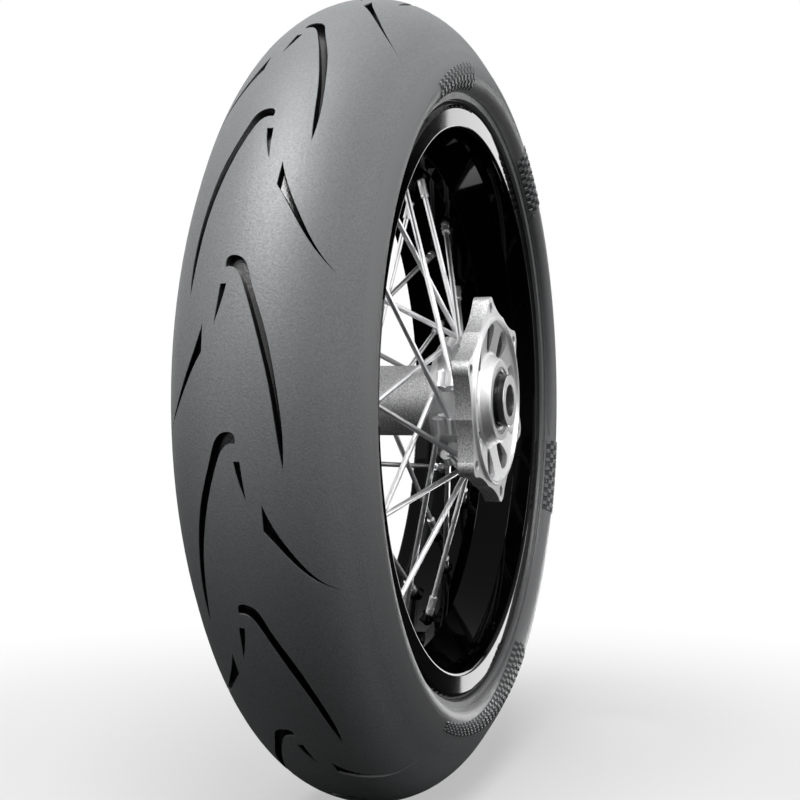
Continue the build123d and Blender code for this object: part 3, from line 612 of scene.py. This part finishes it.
def sidewall_point(climb, lift):
    """Place (y, radius) on the sidewall; climb is metres along it from the moulded ring's corner."""
    if climb < 0:
        return on_line(cushion_edge, ring_corner, climb + cushion_length, lift)
    if climb < ledge_length:
        return on_line(ring_corner, bulge_foot, climb, lift)
    past_ledge = climb - ledge_length
    if past_ledge < bulge_length:
        return on_circle(bulge_centre, bulge_radius + lift, bulge_bottom + past_ledge / bulge_radius)
    past_bulge = past_ledge - bulge_length
    return on_circle(shoulder_centre, shoulder_radius + lift, bulge_top + past_bulge / shoulder_radius)


wall_bottom, wall_shoulder = sidewall_point(-cushion_length, 0), sidewall_point(ledge_length + bulge_length, 0)
print("sidewall from", wall_bottom, "to its shoulder at", wall_shoulder)


# %% Sheets laid on the sidewall
weld_distance = 0.00002
smooth_below = math.radians(40)


def flat_sheet(name, length, columns, rows, low, high):
    """A flat grid in metres; low and high give its lower and upper edge along its length."""
    bpy.ops.object.select_all(action="DESELECT")
    bpy.ops.mesh.primitive_grid_add(x_subdivisions=columns, y_subdivisions=rows, size=1)
    sheet = bpy.context.object
    sheet.name = name
    for vertex in sheet.data.vertices:
        share, rise = vertex.co.x + 0.5, vertex.co.y + 0.5
        floor, roof = low(share), high(share)
        vertex.co = (share * length, floor + rise * (roof - floor), 0)
    return sheet


def lay_on_sidewall(piece, length, start, end, side):
    """Bend a flat piece on to a sidewall: x runs round the wheel, y up the wall, z out of it."""
    for vertex in piece.data.vertices:
        angle = math.radians(start + (end - start) * vertex.co.x / length)
        y, radius = sidewall_point(vertex.co.y, vertex.co.z)
        vertex.co = (radius * math.cos(angle), side * y, radius * math.sin(angle))
    piece.data.update()


def edit(piece):
    """Select one piece alone and open it in edit mode, with nothing selected in it."""
    bpy.ops.object.select_all(action="DESELECT")
    bpy.context.view_layer.objects.active = piece
    piece.select_set(True)
    bpy.ops.object.mode_set(mode="EDIT")
    bpy.ops.mesh.select_all(action="DESELECT")


def faced_out(piece):
    """Weld a piece and turn its faces outwards."""
    edit(piece)
    bpy.ops.mesh.select_all(action="SELECT")
    bpy.ops.mesh.remove_doubles(threshold=weld_distance)
    bpy.ops.mesh.normals_make_consistent(inside=False)
    bpy.ops.object.mode_set(mode="OBJECT")


def joined(name, pieces):
    """Join pieces into one, named."""
    bpy.ops.object.select_all(action="DESELECT")
    for piece in pieces:
        piece.select_set(True)
    bpy.context.view_layer.objects.active = pieces[0]
    bpy.ops.object.join()
    whole = bpy.context.object
    whole.name = name
    whole.data.name = name
    return whole


# %% Moulding rubber
def moulding_rubber(name, dark, light, roughness):
    """Sidewall rubber with its own tone."""
    material, tree, shader = new_material(name)
    grain = placed(tree, grain_group, Scale=900.0, Cloud_Scale=30.0)
    tree.links.new(blended(tree, between(tree, grain.outputs["Grain"], 0.3, 0.7), dark, light),
                   shader.inputs["Base Color"])
    tree.links.new(between(tree, grain.outputs["Clouds"], 0.3, 0.7, roughness + 0.06, roughness - 0.06),
                   shader.inputs["Roughness"])
    bumped(tree, shader, grain.outputs["Grain"], 0.25, 0.0004)
    return material


# the checker ground is painted near black as shade between the raised cells
ground_shade_rubber = moulding_rubber("checker_ground_shade", (0.014, 0.014, 0.015), (0.028, 0.028, 0.029), 0.62)
cell_rubber = moulding_rubber("checker_cell", (0.10, 0.103, 0.106), (0.16, 0.165, 0.17), 0.42)
# the ring and tick ribs are painted darker than the sidewall as a shade line
rib_shade_rubber = moulding_rubber("rib_shade_rubber", (0.050, 0.051, 0.053), (0.075, 0.077, 0.079), 0.45)
panel_rubber = moulding_rubber("panel_rubber", (0.085, 0.087, 0.090), (0.115, 0.118, 0.121), 0.50)
print("moulding rubbers made")

# %% [markdown]
# ### Checkered patches
# A patch is a grid of nearly square cells, every second one raised like a pyramid stump.
# Selecting the cells by their place and insetting them with depth makes all of them at once.

# %% Checkered patches
cell_length = 0.0042
cell_rows = 5
cell_slope = 0.0005
cell_height = 0.0007
patch_lift = 0.00025
patch_radius = 0.246


def edit_faces(piece, picked):
    """Open one piece in edit mode with only the faces selected that are picked."""
    edit(piece)
    bpy.ops.mesh.select_mode(type="FACE")
    bpy.ops.object.mode_set(mode="OBJECT")
    for face in piece.data.polygons:
        face.select = picked(face)
    bpy.ops.object.mode_set(mode="EDIT")


def checkered(name, start, end, low, high):
    """A flat checkered patch, ready to be laid on, and its length."""
    length = math.radians(abs(end - start)) * patch_radius
    columns = round(length / cell_length)

    def raised(face):
        """Every second cell of a row, shifted by one from row to row."""
        return (face.index % columns + face.index // columns) % 2 == 0

    sheet = flat_sheet(name, length, columns, cell_rows, low, high)
    # the ground between the raised cells takes the painted shade rubber
    sheet.data.materials.append(ground_shade_rubber)
    sheet.data.materials.append(cell_rubber)
    for vertex in sheet.data.vertices:
        vertex.co.z = patch_lift
    for face in sheet.data.polygons:
        face.material_index = 1 if raised(face) else 0
    edit_faces(sheet, raised)
    bpy.ops.mesh.inset(thickness=cell_slope, depth=cell_height, use_individual=True)
    bpy.ops.object.mode_set(mode="OBJECT")
    print(name, columns, "by", cell_rows, "cells")
    return sheet, length


patches = (
    ("top", 118.0, 97.0, lambda t: 0.0045, lambda t: 0.0205 + 0.0065 * t),
    ("upper", 60.0, 45.0, lambda t: 0.0030, lambda t: 0.0240 - 0.004 * t),
    ("lower", -9.0, -25.0, lambda t: 0.0030, lambda t: 0.0230),
    ("long", -60.0, -114.0, lambda t: 0.0030 + 0.0150 * t ** 1.5, lambda t: 0.0235 + 0.001 * t),
)
for side, side_name in sides:
    made = []
    for label, start, end, low, high in patches:
        sheet, length = checkered(label, start, end, low, high)
        lay_on_sidewall(sheet, length, start, end, side)
        faced_out(sheet)
        made.append(sheet)
    whole = joined(f"sidewall_checkers_{side_name}", made)
    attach(whole, "wheel")

# %% [markdown]
# ### Ring, ticks and panel
# A thin ring just above the rim shows the fitter that the bead sits evenly. Short ticks
# cross the band below it, and a long pointed panel fills the gap between two patches.

# %% Ring and ticks
ring_radius = 0.234
ring_bottom, ring_top = 0.0004, 0.0014
ring_height = 0.0006
ring_columns, tick_columns, rib_rows = 240, 2, 4
tick_count = 32
first_tick = 92.0
tick_angle = 0.16
tick_bottom = -0.0044
tick_height = 0.0003
rib_sink = 0.0001


def rib(name, start, end, columns, low, high, height):
    """A low round-backed rib laid flat along the wheel, and its length."""
    length = math.radians(abs(end - start)) * ring_radius
    sheet = flat_sheet(name, length, columns, rib_rows, lambda t: low, lambda t: high)
    for vertex in sheet.data.vertices:
        across = (vertex.co.y - low) / (high - low)
        vertex.co.z = height * math.sin(math.pi * across) - rib_sink
    # the rib's darker rubber is painted shade along the ring and ticks
    sheet.data.materials.append(rib_shade_rubber)
    return sheet, length


for side, side_name in sides:
    ring, length = rib("ring", 0.0, 360.0, ring_columns, ring_bottom, ring_top, ring_height)
    lay_on_sidewall(ring, length, 0.0, 360.0, side)
    faced_out(ring)
    made = [ring]
    for index in range(tick_count):
        angle = first_tick - index * 360.0 / tick_count
        tick, length = rib("tick", angle, angle - tick_angle, tick_columns,
                           tick_bottom, ring_bottom, tick_height)
        lay_on_sidewall(tick, length, angle, angle - tick_angle, side)
        faced_out(tick)
        made.append(tick)
    whole = joined(f"moulded_ring_{side_name}", made)
    bpy.ops.object.shade_smooth_by_angle(angle=smooth_below)
    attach(whole, "wheel")
    print("ring and", tick_count, "ticks on the", side_name)

# %% Pointed panel
panel_start, panel_end = 44.5, -8.0
panel_radius = 0.236
panel_length = math.radians(panel_start - panel_end) * panel_radius
panel_columns, panel_rows = 90, 4
panel_middle = 0.0052
panel_half_height, least_half_height = 0.0034, 0.00002
panel_height, panel_edge_height = 0.0004, 0.00005
panel_edge_share = 0.1
panel_round_share, panel_point_share = 0.02, 0.12


def half_height(t):
    """Half the panel's width: round at its start and drawn to a point at its end."""
    rounded, pointed = (t / panel_round_share) ** 0.5, ((1 - t) / panel_point_share) ** 0.7
    return panel_half_height * min(1.0, rounded, pointed) + least_half_height


for side, side_name in sides:
    panel = flat_sheet("panel", panel_length, panel_columns, panel_rows,
                       lambda t: panel_middle - half_height(t), lambda t: panel_middle + half_height(t))
    for vertex in panel.data.vertices:
        share = vertex.co.x / panel_length
        inwards = 1 - abs(vertex.co.y - panel_middle) / half_height(share)
        vertex.co.z = panel_height if inwards > panel_edge_share else panel_edge_height
    panel.data.materials.append(panel_rubber)
    lay_on_sidewall(panel, panel_length, panel_start, panel_end, side)
    faced_out(panel)
    panel.name = f"sidewall_panel_{side_name}"
    panel.data.name = panel.name
    bpy.ops.object.shade_smooth_by_angle(angle=smooth_below)
    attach(panel, "wheel")
    print("panel on the", side_name)

# %% [markdown]
# ## Floor
# The wheel stands on a plain pale floor that runs off to the back, with a soft shadow
# under the tread. To the camera the floor fades to white away from the wheel, and to
# reflections it is nearly black, so that it doesn't show in the rim.

# %% Floor
floor_gap = 0.0005
floor_size = 30
fade_start, fade_end = 0.15, 0.9
white_near, white_far = 0.45, 1.0
seen_grey, lit_grey, mirrored_grey = (0.6, 0.6, 0.6), (0.12, 0.12, 0.12), (0.01, 0.01, 0.01)

floor_level = cad_box[0].z - floor_gap
bpy.ops.mesh.primitive_plane_add(size=floor_size, location=(0, 0, floor_level))
floor = bpy.context.object
floor.name = "floor"
floor_paint, tree, shader = new_material("floor_paint")
shader.inputs["Roughness"].default_value = 0.9
shader.inputs["Specular IOR Level"].default_value = 0.1
white = put(tree, "ShaderNodeEmission", values={"Color": (1, 1, 1, 1), "Strength": 1.0})
ray = put(tree, "ShaderNodeLightPath").outputs
bounced = blended(tree, ray["Is Glossy Ray"], lit_grey, mirrored_grey)
paint = blended(tree, ray["Is Camera Ray"], bounced, seen_grey)
tree.links.new(paint, shader.inputs["Base Color"])
far = put(tree, "ShaderNodeVectorMath", {"operation": "LENGTH"}, links={0: own_place(tree)})
fade = between(tree, far.outputs["Value"], fade_start, fade_end, white_near, white_far, smooth=True)
white_share = maths(tree, "MULTIPLY", fade, ray["Is Camera Ray"])
mix = put(tree, "ShaderNodeMixShader",
          links={0: white_share, 1: shader.outputs["BSDF"], 2: white.outputs["Emission"]})
tree.links.new(mix.outputs["Shader"], tree.nodes["Material Output"].inputs["Surface"])
floor.data.materials.append(floor_paint)
print("floor at", round(floor_level, 4))
